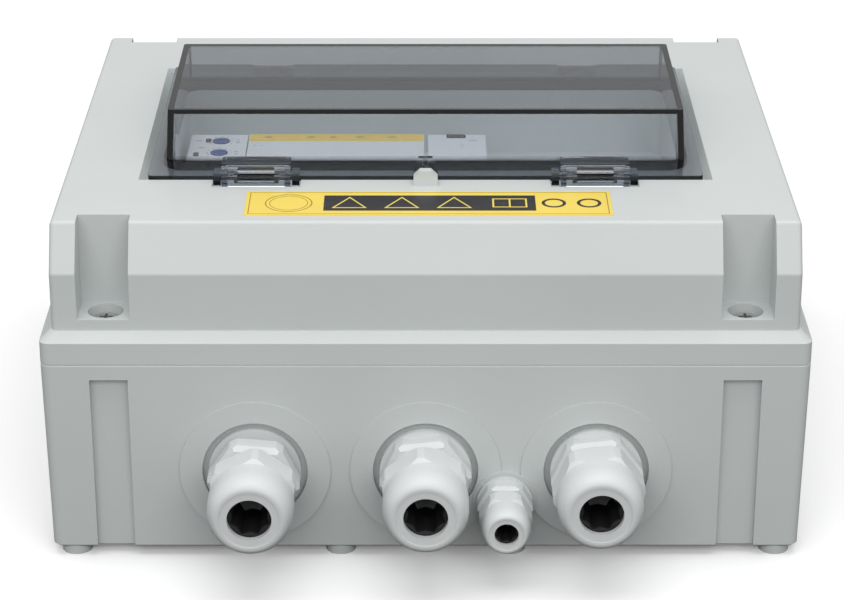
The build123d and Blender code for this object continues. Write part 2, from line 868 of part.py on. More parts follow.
def hexagon_section(plane, flats, turn):
    """A hexagon across flats on a plane, as one face."""
    with BuildSketch(plane) as section:
        RegularPolygon(flats / 2, 6, major_radius=False, rotation=turn)
    return section.sketch.face()


def cable_gland(name, x, z, seat_y, inner_face_y, size, hex_turn, nut_turn):
    """One cable gland: washer, body, locknut inside the box, seal and dome nut."""
    body_start = size["washer"] + size["stand_off"]
    hex_start = body_start + size["collar"]
    neck_start = hex_start + size["hex"]
    nut_start = neck_start + size["neck"]
    claw_start = nut_start + size["male"]
    nut_end = nut_start + size["nut_length"]
    cavity_end = nut_end - size["face_wall"]
    claw = cavity_end - claw_end_gap - claw_start
    seal_start = nut_start + seal_setback
    across_axis = Plane(origin=(x, seat_y, z), x_dir=(1, 0, 0), z_dir=(0, 0, -1))
    gland_axis = Axis((x, seat_y, z), (0, -1, 0))

    def across(out):
        return gland_plane(x, z, seat_y, out)

    with BuildPart() as washer:
        ring(across(0.0), size["washer_radius"], size["stem_radius"] + washer_gap, size["washer"])
    save(washer, f"{name}_washer")

    # spanner hexagon with blunt corners and a bevel all round its outer end
    with BuildPart() as head:
        bevel_start = neck_start - size["bevel"]
        root = hexagon_section(across(hex_start), size["flats"], hex_turn)
        shoulder = hexagon_section(across(bevel_start), size["flats"], hex_turn)
        tip = hexagon_section(across(neck_start), size["flats"] - 1.5 * size["bevel"], hex_turn)
        loft(sections=[root, shoulder], ruled=True)
        loft(sections=[shoulder, tip], ruled=True)
        ring(across(hex_start), size["corner_radius"], 0.0, size["hex"], mode=Mode.INTERSECT)

    with BuildPart() as body:
        add(head.part)
        ring(across(body_start), size["collar_radius"], 0.0, size["collar"])
        ring(across(neck_start), size["neck_radius"], 0.0, size["neck"])
        ring(across(nut_start), size["male_radius"], size["claw_inner"], size["male"])
        ring(across(claw_start), size["claw_outer"], size["claw_inner"], claw)
        # stem through the wall
        ring(across(body_start - size["stem"]), size["stem_radius"], 0.0, size["stem"])
        ring(
            across(body_start - size["stem"] - overcut),
            size["body_bore"],
            0.0,
            nut_start - body_start + size["stem"] + 1.5,
            mode=Mode.SUBTRACT,
        )
        # slots that split the claw ring into fingers
        with BuildSketch(across(claw_start)) as slots:
            with PolarLocations((size["claw_outer"] + size["claw_inner"]) / 2, size["claw_slots"]):
                Rectangle(claw_slot_length, claw_slot_width)
        extrude(slots.sketch, amount=claw + overcut, mode=Mode.SUBTRACT)
    save(body, f"{name}_body")

    with BuildPart() as locknut:
        hexagon = hexagon_section(
            gland_plane(x, z, inner_face_y, -size["locknut"]), size["locknut_flats"], 0.0
        )
        extrude(hexagon, amount=size["locknut"])
        ring(
            gland_plane(x, z, inner_face_y, -size["locknut"] - overcut),
            size["stem_radius"],
            0.0,
            size["locknut"] + 2 * overcut,
            mode=Mode.SUBTRACT,
        )
    save(locknut, f"{name}_locknut")

    with BuildPart() as seal:
        ring(
            across(seal_start),
            size["seal_outer"],
            size["seal_inner"],
            cavity_end - seal_end_gap - seal_start,
        )
    save(seal, f"{name}_seal")

    nut_flat = size["nut_flats"] / 2
    corner = size["nut_corner_radius"]
    hex_end = nut_start + size["nut_hex"]
    with BuildPart() as nut_head:
        extrude(
            hexagon_section(across(nut_start), size["nut_flats"], nut_turn), amount=size["nut_hex"] + 2.4
        )
        with BuildSketch(across_axis) as corner_limit:
            with BuildLine():
                Polyline(
                    (0, nut_start),
                    (corner - 0.8, nut_start),
                    (corner, nut_start + 0.8),
                    (corner, hex_end - 0.6),
                    (nut_flat - 0.3, hex_end + 2.0),
                    (0, hex_end + 2.0),
                    close=True,
                )
            make_face()
        revolve(corner_limit.sketch, axis=gland_axis, mode=Mode.INTERSECT)

    with BuildPart() as nut:
        add(nut_head.part)
        dome_start = nut_start + size["dome_start"]
        with BuildSketch(across_axis) as dome:
            with BuildLine():
                Polyline(
                    (0, nut_end),
                    (0, nut_start),
                    (nut_flat - 0.3, nut_start),
                    (nut_flat - 0.3, hex_end),
                    (size["dome_radius"], hex_end + 0.8),
                    (size["dome_radius"], dome_start),
                )
                EllipticalCenterArc(
                    (size["face_radius"], dome_start),
                    size["dome_radius"] - size["face_radius"],
                    nut_end - dome_start,
                    arc_size=90,
                )
                Line((size["face_radius"], nut_end), (0, nut_end))
            make_face()
        revolve(dome.sketch, axis=gland_axis)
        with BuildSketch(across_axis) as cavity:
            with BuildLine():
                Polyline(
                    (0, nut_start - overcut),
                    (size["male_radius"] + 0.1, nut_start - overcut),
                    (size["male_radius"] + 0.1, claw_start + 0.3),
                    (size["claw_outer"] + 0.4, claw_start + overcut),
                    (size["claw_outer"] + 0.4, cavity_end),
                    (size["mouth_radius"], cavity_end),
                    (size["mouth_radius"], nut_end + overcut),
                    (0, nut_end + overcut),
                    close=True,
                )
            make_face()
        revolve(cavity.sketch, axis=gland_axis, mode=Mode.SUBTRACT)
        # raised rim round the face
        rim_inside = size["face_radius"] - size["face_rim"]
        ring(across(nut_end - face_rim_height), rim_inside, 0.0, 1.0, mode=Mode.SUBTRACT)
    save(nut, f"{name}_dome_nut")


cable_gland("gland_left", -gland_pitch, gland_z, recess_seat_y, inner_boss_y, left_gland, -5.0, 25.0)
cable_gland("gland_middle", 0.0, gland_z, recess_seat_y, inner_boss_y, middle_gland, 6.0, 36.0)
cable_gland("gland_right", gland_pitch, gland_z, recess_seat_y, inner_boss_y, large_gland, 7.0, 7.0)
cable_gland(
    "gland_small", small_gland_x, small_gland_z, small_seat_y, -wall_inner_y, small_gland, 0.0, 0.0
)

# ================================================================ rail and its supports
with BuildPart() as din_rail:
    with BuildSketch(Plane.YZ.offset(-rail_half_length)):
        with BuildLine():
            Polyline(
                (-rail_width / 2, rail_top_z),
                (-rail_web_width / 2 + rail_steel, rail_top_z),
                (-rail_web_width / 2 + rail_steel, rail_top_z - rail_height + rail_steel),
                (rail_web_width / 2 - rail_steel, rail_top_z - rail_height + rail_steel),
                (rail_web_width / 2 - rail_steel, rail_top_z),
                (rail_width / 2, rail_top_z),
                (rail_width / 2, rail_top_z - rail_steel),
                (rail_web_width / 2, rail_top_z - rail_steel),
                (rail_web_width / 2, rail_top_z - rail_height),
                (-rail_web_width / 2, rail_top_z - rail_height),
                (-rail_web_width / 2, rail_top_z - rail_steel),
                (-rail_width / 2, rail_top_z - rail_steel),
                close=True,
            )
        make_face()
    extrude(amount=2 * rail_half_length)
    with BuildSketch(Plane.XY.offset(rail_top_z - rail_height - overcut)):
        with Locations((-support_x, 0), (support_x, 0)):
            Circle(rail_screw_radius)
    extrude(amount=rail_steel + 2 * overcut, mode=Mode.SUBTRACT)
save(din_rail, "din_rail")

for side, side_name in ((-1, "left"), (1, "right")):
    with BuildPart() as rail_support:
        with BuildSketch(Plane.XY.offset(base_floor_z)):
            with Locations((side * support_x, 0)):
                RectangleRounded(support_width, support_depth, support_corner_radius)
                with Locations((-support_width / 2, 0), (support_width / 2, 0)):
                    Rectangle(support_slot_width, support_slot_length, mode=Mode.SUBTRACT)
        extrude(amount=rail_top_z - rail_height - base_floor_z)
        with BuildSketch(Plane.XY.offset(rail_top_z - rail_height)):
            with Locations((side * support_x, 0)):
                Circle(rail_screw_radius)
        extrude(amount=-support_slot_depth, mode=Mode.SUBTRACT)
    save(rail_support, f"rail_support_{side_name}")

with BuildPart() as rail_screws:
    web_z = rail_top_z - rail_height + rail_steel
    with BuildSketch(Plane.XY.offset(web_z - 10.0)):
        with Locations((-support_x, 0), (support_x, 0)):
            Circle(rail_screw_radius)
    extrude(amount=10.0)
    with BuildSketch(Plane.XY.offset(web_z)):
        with Locations((-support_x, 0), (support_x, 0)):
            Circle(rail_screw_head_radius)
    extrude(amount=rail_screw_head_height)
    with BuildSketch(Plane.XY.offset(web_z + rail_screw_head_height)):
        with Locations((-support_x, 0), (support_x, 0)):
            Rectangle(slot_length, slot_width)
            Rectangle(slot_width, slot_length)
    extrude(amount=-slot_depth, mode=Mode.SUBTRACT)
save(rail_screws, "rail_screws")


def device(left_x, right_x, ways):
    """A rail-mounted device with a stepped profile, terminal recesses and wire entries."""
    half = device_body_half_depth
    nose = device_nose_half_depth
    with BuildSketch(Plane.YZ.offset(left_x)) as profile:
        with BuildLine():
            Polyline(
                (-half, device_back_z),
                (-half, device_shoulder_z),
                (-nose, device_shoulder_z),
                (-nose, device_face_z),
                (nose, device_face_z),
                (nose, device_shoulder_z),
                (half, device_shoulder_z),
                (half, device_back_z),
                (rail_width / 2 + rail_gap, device_back_z),
                (rail_width / 2 + rail_gap, rail_top_z),
                (-rail_width / 2 - rail_gap, rail_top_z),
                (-rail_width / 2 - rail_gap, device_back_z),
                close=True,
            )
        make_face()
        fillet(profile.vertices().group_by(Axis.Y)[-1], device_edge_radius)
    extrude(profile.sketch, amount=right_x - left_x)
    pitch = (right_x - left_x) / ways
    places = [(left_x + (way + 0.5) * pitch, end * terminal_y) for way in range(ways) for end in (-1, 1)]
    with BuildSketch(Plane.XY.offset(device_shoulder_z)) as recesses:
        with Locations(places):
            Circle(terminal_recess_radius)
    extrude(recesses.sketch, amount=-terminal_recess_depth, mode=Mode.SUBTRACT)
    for x, y in places:
        front = y / terminal_y
        near = front * (half - wire_entry_depth)
        far = front * (half + overcut)
        box_between(
            (x - wire_entry / 2, min(near, far), wire_entry_z - wire_entry / 2),
            (x + wire_entry / 2, max(near, far), wire_entry_z + wire_entry / 2),
            mode=Mode.SUBTRACT,
        )
    return places


with BuildPart() as relay_body:
    relay_places = device(relay_left_x, relay_right_x, 2)
    with BuildSketch(Plane.XY.offset(device_face_z)):
        with Locations((dial_x, dial_rear_y), (dial_x, dial_front_y)):
            Circle(dial_well_radius)
    extrude(amount=-dial_well_depth, mode=Mode.SUBTRACT)
    with BuildSketch(Plane.XY.offset(device_face_z - dial_well_depth)):
        with Locations((dial_x, dial_rear_y), (dial_x, dial_front_y)):
            Circle(dial_shaft_bore)
    extrude(amount=-dial_shaft_length - overcut, mode=Mode.SUBTRACT)
save(relay_body, "relay_body")

with BuildPart() as contactor_body:
    contactor_places = device(contactor_left_x, contactor_right_x, 4)
save(contactor_body, "contactor_body")

with BuildPart() as aux_relay_body:
    aux_places = device(aux_left_x, aux_right_x, 2)
save(aux_relay_body, "aux_relay_body")

with BuildPart() as terminal_screws:
    with BuildSketch(Plane.XY.offset(device_shoulder_z - terminal_recess_depth)):
        with Locations(relay_places + contactor_places + aux_places):
            Circle(terminal_screw_radius)
    extrude(amount=terminal_screw_height)
    with BuildSketch(Plane.XY.offset(device_shoulder_z - terminal_recess_depth + terminal_screw_height)):
        with Locations(relay_places + contactor_places + aux_places):
            Rectangle(3.6, 0.8)
            Rectangle(0.8, 3.6)
    extrude(amount=-1.0, mode=Mode.SUBTRACT)
save(terminal_screws, "terminal_screws")

for dial_y, dial_name in ((dial_rear_y, "rear"), (dial_front_y, "front")):
    with BuildPart() as dial:
        dial_floor_z = device_face_z - dial_well_depth + 0.3
        with BuildSketch(Plane.XY.offset(dial_floor_z)):
            with Locations((dial_x, dial_y)):
                Circle(dial_radius)
                with PolarLocations(dial_radius, 16):
                    Circle(0.3, mode=Mode.SUBTRACT)
        extrude(amount=device_face_z + dial_stand - dial_floor_z)
        with BuildSketch(Plane.XY.offset(device_face_z + dial_stand)):
            with Locations((dial_x, dial_y)):
                Rectangle(4.6, 0.9)
        extrude(amount=-0.9, mode=Mode.SUBTRACT)
        with BuildSketch(Plane.XY.offset(dial_floor_z - dial_shaft_length)):
            with Locations((dial_x, dial_y)):
                Circle(dial_shaft_radius)
        extrude(amount=dial_shaft_length)
    save(dial, f"relay_dial_{dial_name}")

with BuildPart() as relay_lenses:
    with BuildSketch(Plane.XY.offset(device_face_z)):
        with Locations((dial_x - 5.4, dial_rear_y - 0.1), (dial_x - 9.6, dial_front_y - 2.8)):
            RectangleRounded(2.2, 3.2, 0.4)
    extrude(amount=0.6)
save(relay_lenses, "relay_lenses")

with BuildPart() as contactor_marker:
    box_between(
        (contactor_left_x + 0.5, device_nose_half_depth - marker_depth, device_face_z),
        (contactor_right_x - 0.5, device_nose_half_depth - 0.9, device_face_z + trim_thickness),
    )
save(contactor_marker, "contactor_marker")

with BuildPart() as aux_relay_flag:
    box_between(
        (aux_left_x + 8.0, device_nose_half_depth - 4.9, device_face_z),
        (aux_left_x + 16.2, device_nose_half_depth - 1.1, device_face_z + trim_thickness),
    )
save(aux_relay_flag, "aux_relay_flag")

for left_x, side_name in ((relay_left_x - 6.6, "left"), (aux_right_x + 0.4, "right")):
    with BuildPart() as end_stop:
        with BuildSketch(Plane.YZ.offset(left_x)):
            with BuildLine():
                Polyline(
                    (-21.0, device_back_z),
                    (-21.0, 74.0),
                    (-13.0, 86.0),
                    (13.0, 86.0),
                    (21.0, 74.0),
                    (21.0, device_back_z),
                    (rail_width / 2 + rail_gap, device_back_z),
                    (rail_width / 2 + rail_gap, rail_top_z),
                    (-rail_width / 2 - rail_gap, rail_top_z),
                    (-rail_width / 2 - rail_gap, device_back_z),
                    close=True,
                )
            make_face()
        extrude(amount=6.2)
    save(end_stop, f"end_stop_{side_name}")

with BuildPart() as blanking_strip:
    strip_left = aux_right_x + overcut
    box_between(
        (strip_left, -slot_half_depth - 1.5, well_floor_z),
        (well_half_width - 0.5, slot_half_depth + 1.5, well_floor_z + 1.5),
    )
    for end in (-1, 1):
        near = end * (slot_half_depth - 0.2)
        far = end * (slot_half_depth - 2.0)
        box_between(
            (strip_left + 2.0, min(near, far), well_floor_z - 5.0),
            (slot_half_width - 2.0, max(near, far), well_floor_z),
        )
save(blanking_strip, "blanking_strip")

# ================================================================ earth and neutral bars
for bar_x, bar_name in ((earth_bar_x, "earth"), (neutral_bar_x, "neutral")):
    bar_low_z = base_floor_z + bar_holder_height
    ways = [(bar_x + (way - (bar_ways - 1) / 2) * 9.5, bar_y) for way in range(bar_ways)]
    with BuildPart() as bar_holder:
        box_between(
            (bar_x - bar_length / 2 - 6.0, bar_y - bar_holder_width / 2, base_floor_z),
            (bar_x + bar_length / 2 + 6.0, bar_y + bar_holder_width / 2, bar_low_z),
        )
        for end in (-1, 1):
            inner = bar_x + end * bar_length / 2
            outer = bar_x + end * (bar_length / 2 + 6.0)
            box_between(
                (min(inner, outer), bar_y - bar_holder_width / 2, bar_low_z),
                (max(inner, outer), bar_y + bar_holder_width / 2, bar_low_z + bar_holder_lip),
            )
    save(bar_holder, f"{bar_name}_bar_holder")

    with BuildPart() as bar:
        box_between(
            (bar_x - bar_length / 2, bar_y - bar_width / 2, bar_low_z),
            (bar_x + bar_length / 2, bar_y + bar_width / 2, bar_low_z + bar_height),
        )
        with BuildSketch(Plane.XZ.offset(-bar_y - bar_width)):
            with Locations([(x, bar_low_z + bar_height / 2) for x, y in ways]):
                Circle(bar_wire_radius)
        extrude(amount=2 * bar_width, mode=Mode.SUBTRACT)
        with BuildSketch(Plane.XY.offset(bar_low_z + bar_height)):
            with Locations(ways):
                Circle(bar_screw_radius)
        extrude(amount=-bar_height / 2, mode=Mode.SUBTRACT)
    save(bar, f"{bar_name}_bar")

    with BuildPart() as bar_screws:
        with BuildSketch(Plane.XY.offset(bar_low_z + bar_height - 1.4)):
            with Locations(ways):
                Circle(bar_screw_radius)
        extrude(amount=3.4)
        with BuildSketch(Plane.XY.offset(bar_low_z + bar_height + 2.0)):
            with Locations(ways):
                Rectangle(4.8, 0.8)
        extrude(amount=-0.9, mode=Mode.SUBTRACT)
    save(bar_screws, f"{bar_name}_bar_screws")
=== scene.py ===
import json
import math

import bmesh
import bpy
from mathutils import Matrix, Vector


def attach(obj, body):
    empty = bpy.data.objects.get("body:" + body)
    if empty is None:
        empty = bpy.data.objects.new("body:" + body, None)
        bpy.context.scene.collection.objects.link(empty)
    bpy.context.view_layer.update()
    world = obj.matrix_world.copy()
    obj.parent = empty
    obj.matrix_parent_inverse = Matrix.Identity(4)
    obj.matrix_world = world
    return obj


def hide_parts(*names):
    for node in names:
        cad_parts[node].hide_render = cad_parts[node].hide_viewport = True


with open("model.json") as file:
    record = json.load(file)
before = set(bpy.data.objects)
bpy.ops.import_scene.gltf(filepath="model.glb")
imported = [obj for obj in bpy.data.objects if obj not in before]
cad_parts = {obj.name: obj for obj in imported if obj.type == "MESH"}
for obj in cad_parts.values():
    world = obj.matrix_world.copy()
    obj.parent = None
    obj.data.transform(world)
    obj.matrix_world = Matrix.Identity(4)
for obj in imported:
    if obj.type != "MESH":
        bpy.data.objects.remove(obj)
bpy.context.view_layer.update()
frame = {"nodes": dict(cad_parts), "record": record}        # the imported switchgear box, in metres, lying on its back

MM = 0.001
record = frame["record"]
nodes = frame["nodes"]

# ---------------------------------------------------------------- camera and light, in metres and degrees
CAMERA_PLACE = (-0.00142, -1.0928, 0.5271)
CAMERA_TILT = 66.67
CAMERA_LENS = 116.45
SENSOR_WIDTH = 36.0
CLIP_START = 0.05
CLIP_END = 50.0
WORLD_STRENGTH = 0.60
# name, place, point it faces, width and height, watts, whether glossy surfaces mirror it
SOFTBOXES = (
    ("overhead", (0.0, -0.1, 1.5), (0.0, 0.0, 0.1), (1.6, 1.2), 10.0, True),
    ("front_fill", (0.0, -1.9, 1.3), (0.0, 0.0, 0.08), (2.6, 0.9), 25.0, False),
)
FLOOR_HALF_SIZE = 6.0
FLOOR_COLOUR = (0.95, 0.95, 0.95)
FLOOR_GLOW = 0.12
FLOOR_BOUNCE_COLOUR = (0.10, 0.10, 0.10)


def add_camera():
    """Camera at the product photograph's angle: level with the gland wall, looking down at the window."""
    data = bpy.data.cameras.new("camera")
    data.lens = CAMERA_LENS
    data.sensor_width = SENSOR_WIDTH
    data.clip_start = CLIP_START
    data.clip_end = CLIP_END
    camera = bpy.data.objects.new("camera", data)
    camera.location = CAMERA_PLACE
    camera.rotation_euler = (math.radians(CAMERA_TILT), 0.0, 0.0)
    bpy.context.scene.collection.objects.link(camera)
    bpy.context.scene.camera = camera


def add_softbox(name, place, aim, size, power, mirrored):
    """A rectangular soft light that faces a point."""
    data = bpy.data.lights.new(name, "AREA")
    data.shape = "RECTANGLE"
    data.size, data.size_y = size
    data.energy = power
    lamp = bpy.data.objects.new(name, data)
    lamp.location = place
    lamp.rotation_euler = (Vector(aim) - Vector(place)).to_track_quat("-Z", "Y").to_euler()
    lamp.visible_glossy = mirrored
    bpy.context.scene.collection.objects.link(lamp)


def add_studio():
    """White surround, soft lamps above and in front, and a pale floor that is dark to bounced light."""
    world = bpy.data.worlds.new("studio")
    world.use_nodes = True
    background = world.node_tree.nodes["Background"]
    background.inputs["Color"].default_value = (1.0, 1.0, 1.0, 1.0)
    background.inputs["Strength"].default_value = WORLD_STRENGTH
    bpy.context.scene.world = world
    for lamp in SOFTBOXES:
        add_softbox(*lamp)
    mesh = bpy.data.meshes.new("floor")
    form = bmesh.new()
    bmesh.ops.create_grid(form, x_segments=2, y_segments=2, size=FLOOR_HALF_SIZE)
    form.to_mesh(mesh)
    form.free()
    floor = bpy.data.objects.new("floor", mesh)
    bpy.context.scene.collection.objects.link(floor)
    paint = Paint("floor", FLOOR_COLOUR, 0.6)
    paint.mottle(3.0, 0.01)
    paint.set(Emission_Color=(1.0, 1.0, 1.0, 1.0), Emission_Strength=FLOOR_GLOW)
    paint.darker_for_bounces(FLOOR_BOUNCE_COLOUR)
    mesh.materials.append(paint.material)


# ---------------------------------------------------------------- materials
# the tinted hood's walls lean in with height; within an edge's width of two of its faces the colour is painted near
# black, painted shade for the dark edges of the clear plastic
EDGE = 1.5 * MM
SIDE_EDGE = 2.4 * MM
HOOD_TOP_Z = 158.8 * MM
HOOD_RISE = 18.9
HOOD_SIDE_TAPER = 0.5 / HOOD_RISE
HOOD_FRONT_TAPER = 7.2 / HOOD_RISE
HOOD_REAR_TAPER = 7.4 / HOOD_RISE
# where each wall would meet the plane z = 0, less the width of its edge
HOOD_HALF_WIDTH = 104.9 * MM + HOOD_TOP_Z * HOOD_SIDE_TAPER - SIDE_EDGE
HOOD_FRONT = -(43.6 * MM + HOOD_TOP_Z * HOOD_FRONT_TAPER - EDGE)
HOOD_REAR = 42.6 * MM + HOOD_TOP_Z * HOOD_REAR_TAPER - EDGE
HOOD_TOP = HOOD_TOP_Z - EDGE
FLANGE_TOP = 140.4 * MM
# painted shade: the hood's top gets a darker base colour for how dark it looks under the lamps
TOP_PAINTED_SHADE = (0.72, 0.73, 0.76)
# painted shade: near-black base colour at the hood's edges
EDGE_PAINTED_SHADE = (0.015, 0.016, 0.018)
# painted shade: the flange gets a darker base colour for the dark seal gap under it
FLANGE_PAINTED_SHADE = (0.58, 0.59, 0.61)
SHADOW_TINT = (0.92, 0.93, 0.94)
# between one and two masks added up
MORE_THAN_ONE_FACE = 1.5
PLASTIC_IOR = 1.5
# the middle of a noise value, which is stretched to a range
NOISE_LOW, NOISE_HIGH = 0.3, 0.7
# the colour sockets of a Mix node
MIX_FIRST, MIX_SECOND, MIX_RESULT = 6, 7, 2
PAINT_OF_NODE = {"window_cover": "smoke_window"}


class Paint:
    """One procedural surface: a Principled shader fed by noise in the part's own coordinates."""

    def __init__(self, name, colour, roughness):
        self.material = bpy.data.materials.new(name)
        self.material.use_nodes = True
        self.tree = self.material.node_tree
        self.shader = self.tree.nodes["Principled BSDF"]
        self.output = self.tree.nodes["Material Output"]
        self.colour = colour
        self.roughness = roughness
        self.shader.inputs["Base Color"].default_value = (*colour, 1.0)
        self.shader.inputs["Roughness"].default_value = roughness
        self.coordinates = self.tree.nodes.new("ShaderNodeTexCoord").outputs["Object"]
        self.height = None
        self.parts = None

    def noise(self, scale, detail=3.0, stretch=(1.0, 1.0, 1.0)):
        """A noise value between 0 and 1; stretch lengthens it along an axis, as brushing does."""
        mapping = self.tree.nodes.new("ShaderNodeMapping")
        mapping.inputs["Scale"].default_value = stretch
        self.tree.links.new(self.coordinates, mapping.inputs["Vector"])
        texture = self.tree.nodes.new("ShaderNodeTexNoise")
        texture.inputs["Scale"].default_value = scale
        texture.inputs["Detail"].default_value = detail
        self.tree.links.new(mapping.outputs["Vector"], texture.inputs["Vector"])
        return texture.outputs["Fac"]

    def spread(self, value, low, high):
        """Maps the middle of a noise value to a range."""
        node = self.tree.nodes.new("ShaderNodeMapRange")
        node.inputs["From Min"].default_value = NOISE_LOW
        node.inputs["From Max"].default_value = NOISE_HIGH
        node.inputs["To Min"].default_value = low
        node.inputs["To Max"].default_value = high
        self.tree.links.new(value, node.inputs["Value"])
        return node.outputs["Result"]

    def mottle(self, scale, amount, detail=4.0, stretch=(1.0, 1.0, 1.0)):
        """Slow variation of the base colour, lighter and darker by a share."""
        mix = self.tree.nodes.new("ShaderNodeMix")
        mix.data_type = "RGBA"
        dark = [channel * (1.0 - amount) for channel in self.colour]
        light = [min(1.0, channel * (1.0 + amount)) for channel in self.colour]
        mix.inputs[MIX_FIRST].default_value = (*dark, 1.0)
        mix.inputs[MIX_SECOND].default_value = (*light, 1.0)
        value = self.spread(self.noise(scale, detail, stretch), 0.0, 1.0)
        self.tree.links.new(value, mix.inputs[0])
        self.tree.links.new(mix.outputs[MIX_RESULT], self.shader.inputs["Base Color"])
        return self

    def uneven(self, scale, amount, stretch=(1.0, 1.0, 1.0)):
        """Roughness that varies about its middle value."""
        low, high = self.roughness - amount, self.roughness + amount
        value = self.spread(self.noise(scale, 3.0, stretch), low, high)
        self.tree.links.new(value, self.shader.inputs["Roughness"])
        return self

    def grain(self, scale, depth, detail=2.0, stretch=(1.0, 1.0, 1.0)):
        """Fine relief of the surface; several grains add up."""
        bump = self.tree.nodes.new("ShaderNodeBump")
        bump.inputs["Strength"].default_value = 1.0
        bump.inputs["Distance"].default_value = depth
        self.tree.links.new(self.noise(scale, detail, stretch), bump.inputs["Height"])
        if self.height is not None:
            self.tree.links.new(self.height, bump.inputs["Normal"])
        self.height = bump.outputs["Normal"]
        self.tree.links.new(self.height, self.shader.inputs["Normal"])
        return self

    def set(self, **sockets):
        """Plain values on the shader's own sockets, such as Metallic=1.0."""
        for name, value in sockets.items():
            self.shader.inputs[name.replace("_", " ")].default_value = value
        return self

    def mixed_by_ray(self, kinds, other):
        """Another shader in place of the surface for some kinds of ray, such as "Is Shadow Ray"."""
        path = self.tree.nodes.new("ShaderNodeLightPath")
        factor = path.outputs[kinds[0]]
        for kind in kinds[1:]:
            either = self.tree.nodes.new("ShaderNodeMath")
            either.operation = "MAXIMUM"
            self.tree.links.new(factor, either.inputs[0])
            self.tree.links.new(path.outputs[kind], either.inputs[1])
            factor = either.outputs[0]
        mix = self.tree.nodes.new("ShaderNodeMixShader")
        self.tree.links.new(factor, mix.inputs[0])
        self.tree.links.new(self.shader.outputs[0], mix.inputs[1])
        self.tree.links.new(other.outputs[0], mix.inputs[2])
        self.tree.links.new(mix.outputs[0], self.output.inputs["Surface"])
        return self

    def darker_for_bounces(self, colour):
        """Keeps a stage surface pale to the camera while it throws less light back at the object."""
        dark = self.tree.nodes.new("ShaderNodeBsdfDiffuse")
        dark.inputs["Color"].default_value = (*colour, 1.0)
        return self.mixed_by_ray(("Is Diffuse Ray", "Is Glossy Ray"), dark)

    def lets_lamps_through(self, colour):
        """Clear plastic casts a tinted shadow in place of a black one."""
        clear = self.tree.nodes.new("ShaderNodeBsdfTransparent")
        clear.inputs["Color"].default_value = (*colour, 1.0)
        return self.mixed_by_ray(("Is Shadow Ray",), clear)

    def split(self):
        """The object coordinates as separate X, Y and Z values."""
        if self.parts is None:
            node = self.tree.nodes.new("ShaderNodeSeparateXYZ")
            self.tree.links.new(self.coordinates, node.inputs[0])
            self.parts = node.outputs
        return self.parts

    def beyond(self, axis, limit, slope=0.0):
        """1 where a coordinate is past a limit, outwards from zero, that leans in by slope with height."""
        return self.above(self.sum_of(self.split()[axis], self.split()["Z"], slope), limit)

    def sum_of(self, first, second, share):
        """first plus a share of second."""
        node = self.tree.nodes.new("ShaderNodeMath")
        node.operation = "MULTIPLY_ADD"
        self.tree.links.new(second, node.inputs[0])
        node.inputs[1].default_value = share
        self.tree.links.new(first, node.inputs[2])
        return node.outputs[0]

    def above(self, value, limit):
        """1 where a value is over a limit; a negative limit tests the other side."""
        return self.compare("GREATER_THAN" if limit > 0 else "LESS_THAN", value, limit)

    def compare(self, operation, value, limit):
        """1 where a comparison of a value with a limit holds, else 0."""
        node = self.tree.nodes.new("ShaderNodeMath")
        node.operation = operation
        self.tree.links.new(value, node.inputs[0])
        node.inputs[1].default_value = limit
        return node.outputs[0]

    def below_flange(self):
        """1 on everything under the top of the flange round the hood's foot."""
        return self.compare("LESS_THAN", self.split()["Z"], FLANGE_TOP)

    def tint_where(self, mask, colour):
        """Another base colour where a mask is 1, over what the surface had."""
        mix = self.tree.nodes.new("ShaderNodeMix")
        mix.data_type = "RGBA"
        self.tree.links.new(mask, mix.inputs[0])
        links = self.shader.inputs["Base Color"].links
        if links:
            self.tree.links.new(links[0].from_socket, mix.inputs[MIX_FIRST])
        else:
            mix.inputs[MIX_FIRST].default_value = (*self.colour, 1.0)
        mix.inputs[MIX_SECOND].default_value = (*colour, 1.0)
        self.tree.links.new(mix.outputs[MIX_RESULT], self.shader.inputs["Base Color"])
        return self

    def absorb(self, colour, density):
        """Tint that deepens with the thickness of clear plastic."""
        volume = self.tree.nodes.new("ShaderNodeVolumeAbsorption")
        volume.inputs["Color"].default_value = (*colour, 1.0)
        volume.inputs["Density"].default_value = density
        self.tree.links.new(volume.outputs["Volume"], self.output.inputs["Volume"])
        return self


def moulded(name, colour, roughness=0.45, grain_depth=0.00003):
    """Injection-moulded plastic: fine spark-eroded texture, slight sheen changes, faint colour drift."""
    paint = Paint(name, colour, roughness)
    paint.mottle(14.0, 0.015).uneven(40.0, 0.05).grain(1400.0, grain_depth).grain(160.0, grain_depth)
    return paint


def plated(name, colour, roughness=0.3):
    """Bright metal with fine drawing marks: zinc plating, brass and rail steel."""
    paint = Paint(name, colour, roughness)
    paint.mottle(200.0, 0.08).uneven(300.0, 0.1, (1.0, 8.0, 8.0)).grain(900.0, 0.00002)
    paint.set(Metallic=1.0)
    return paint


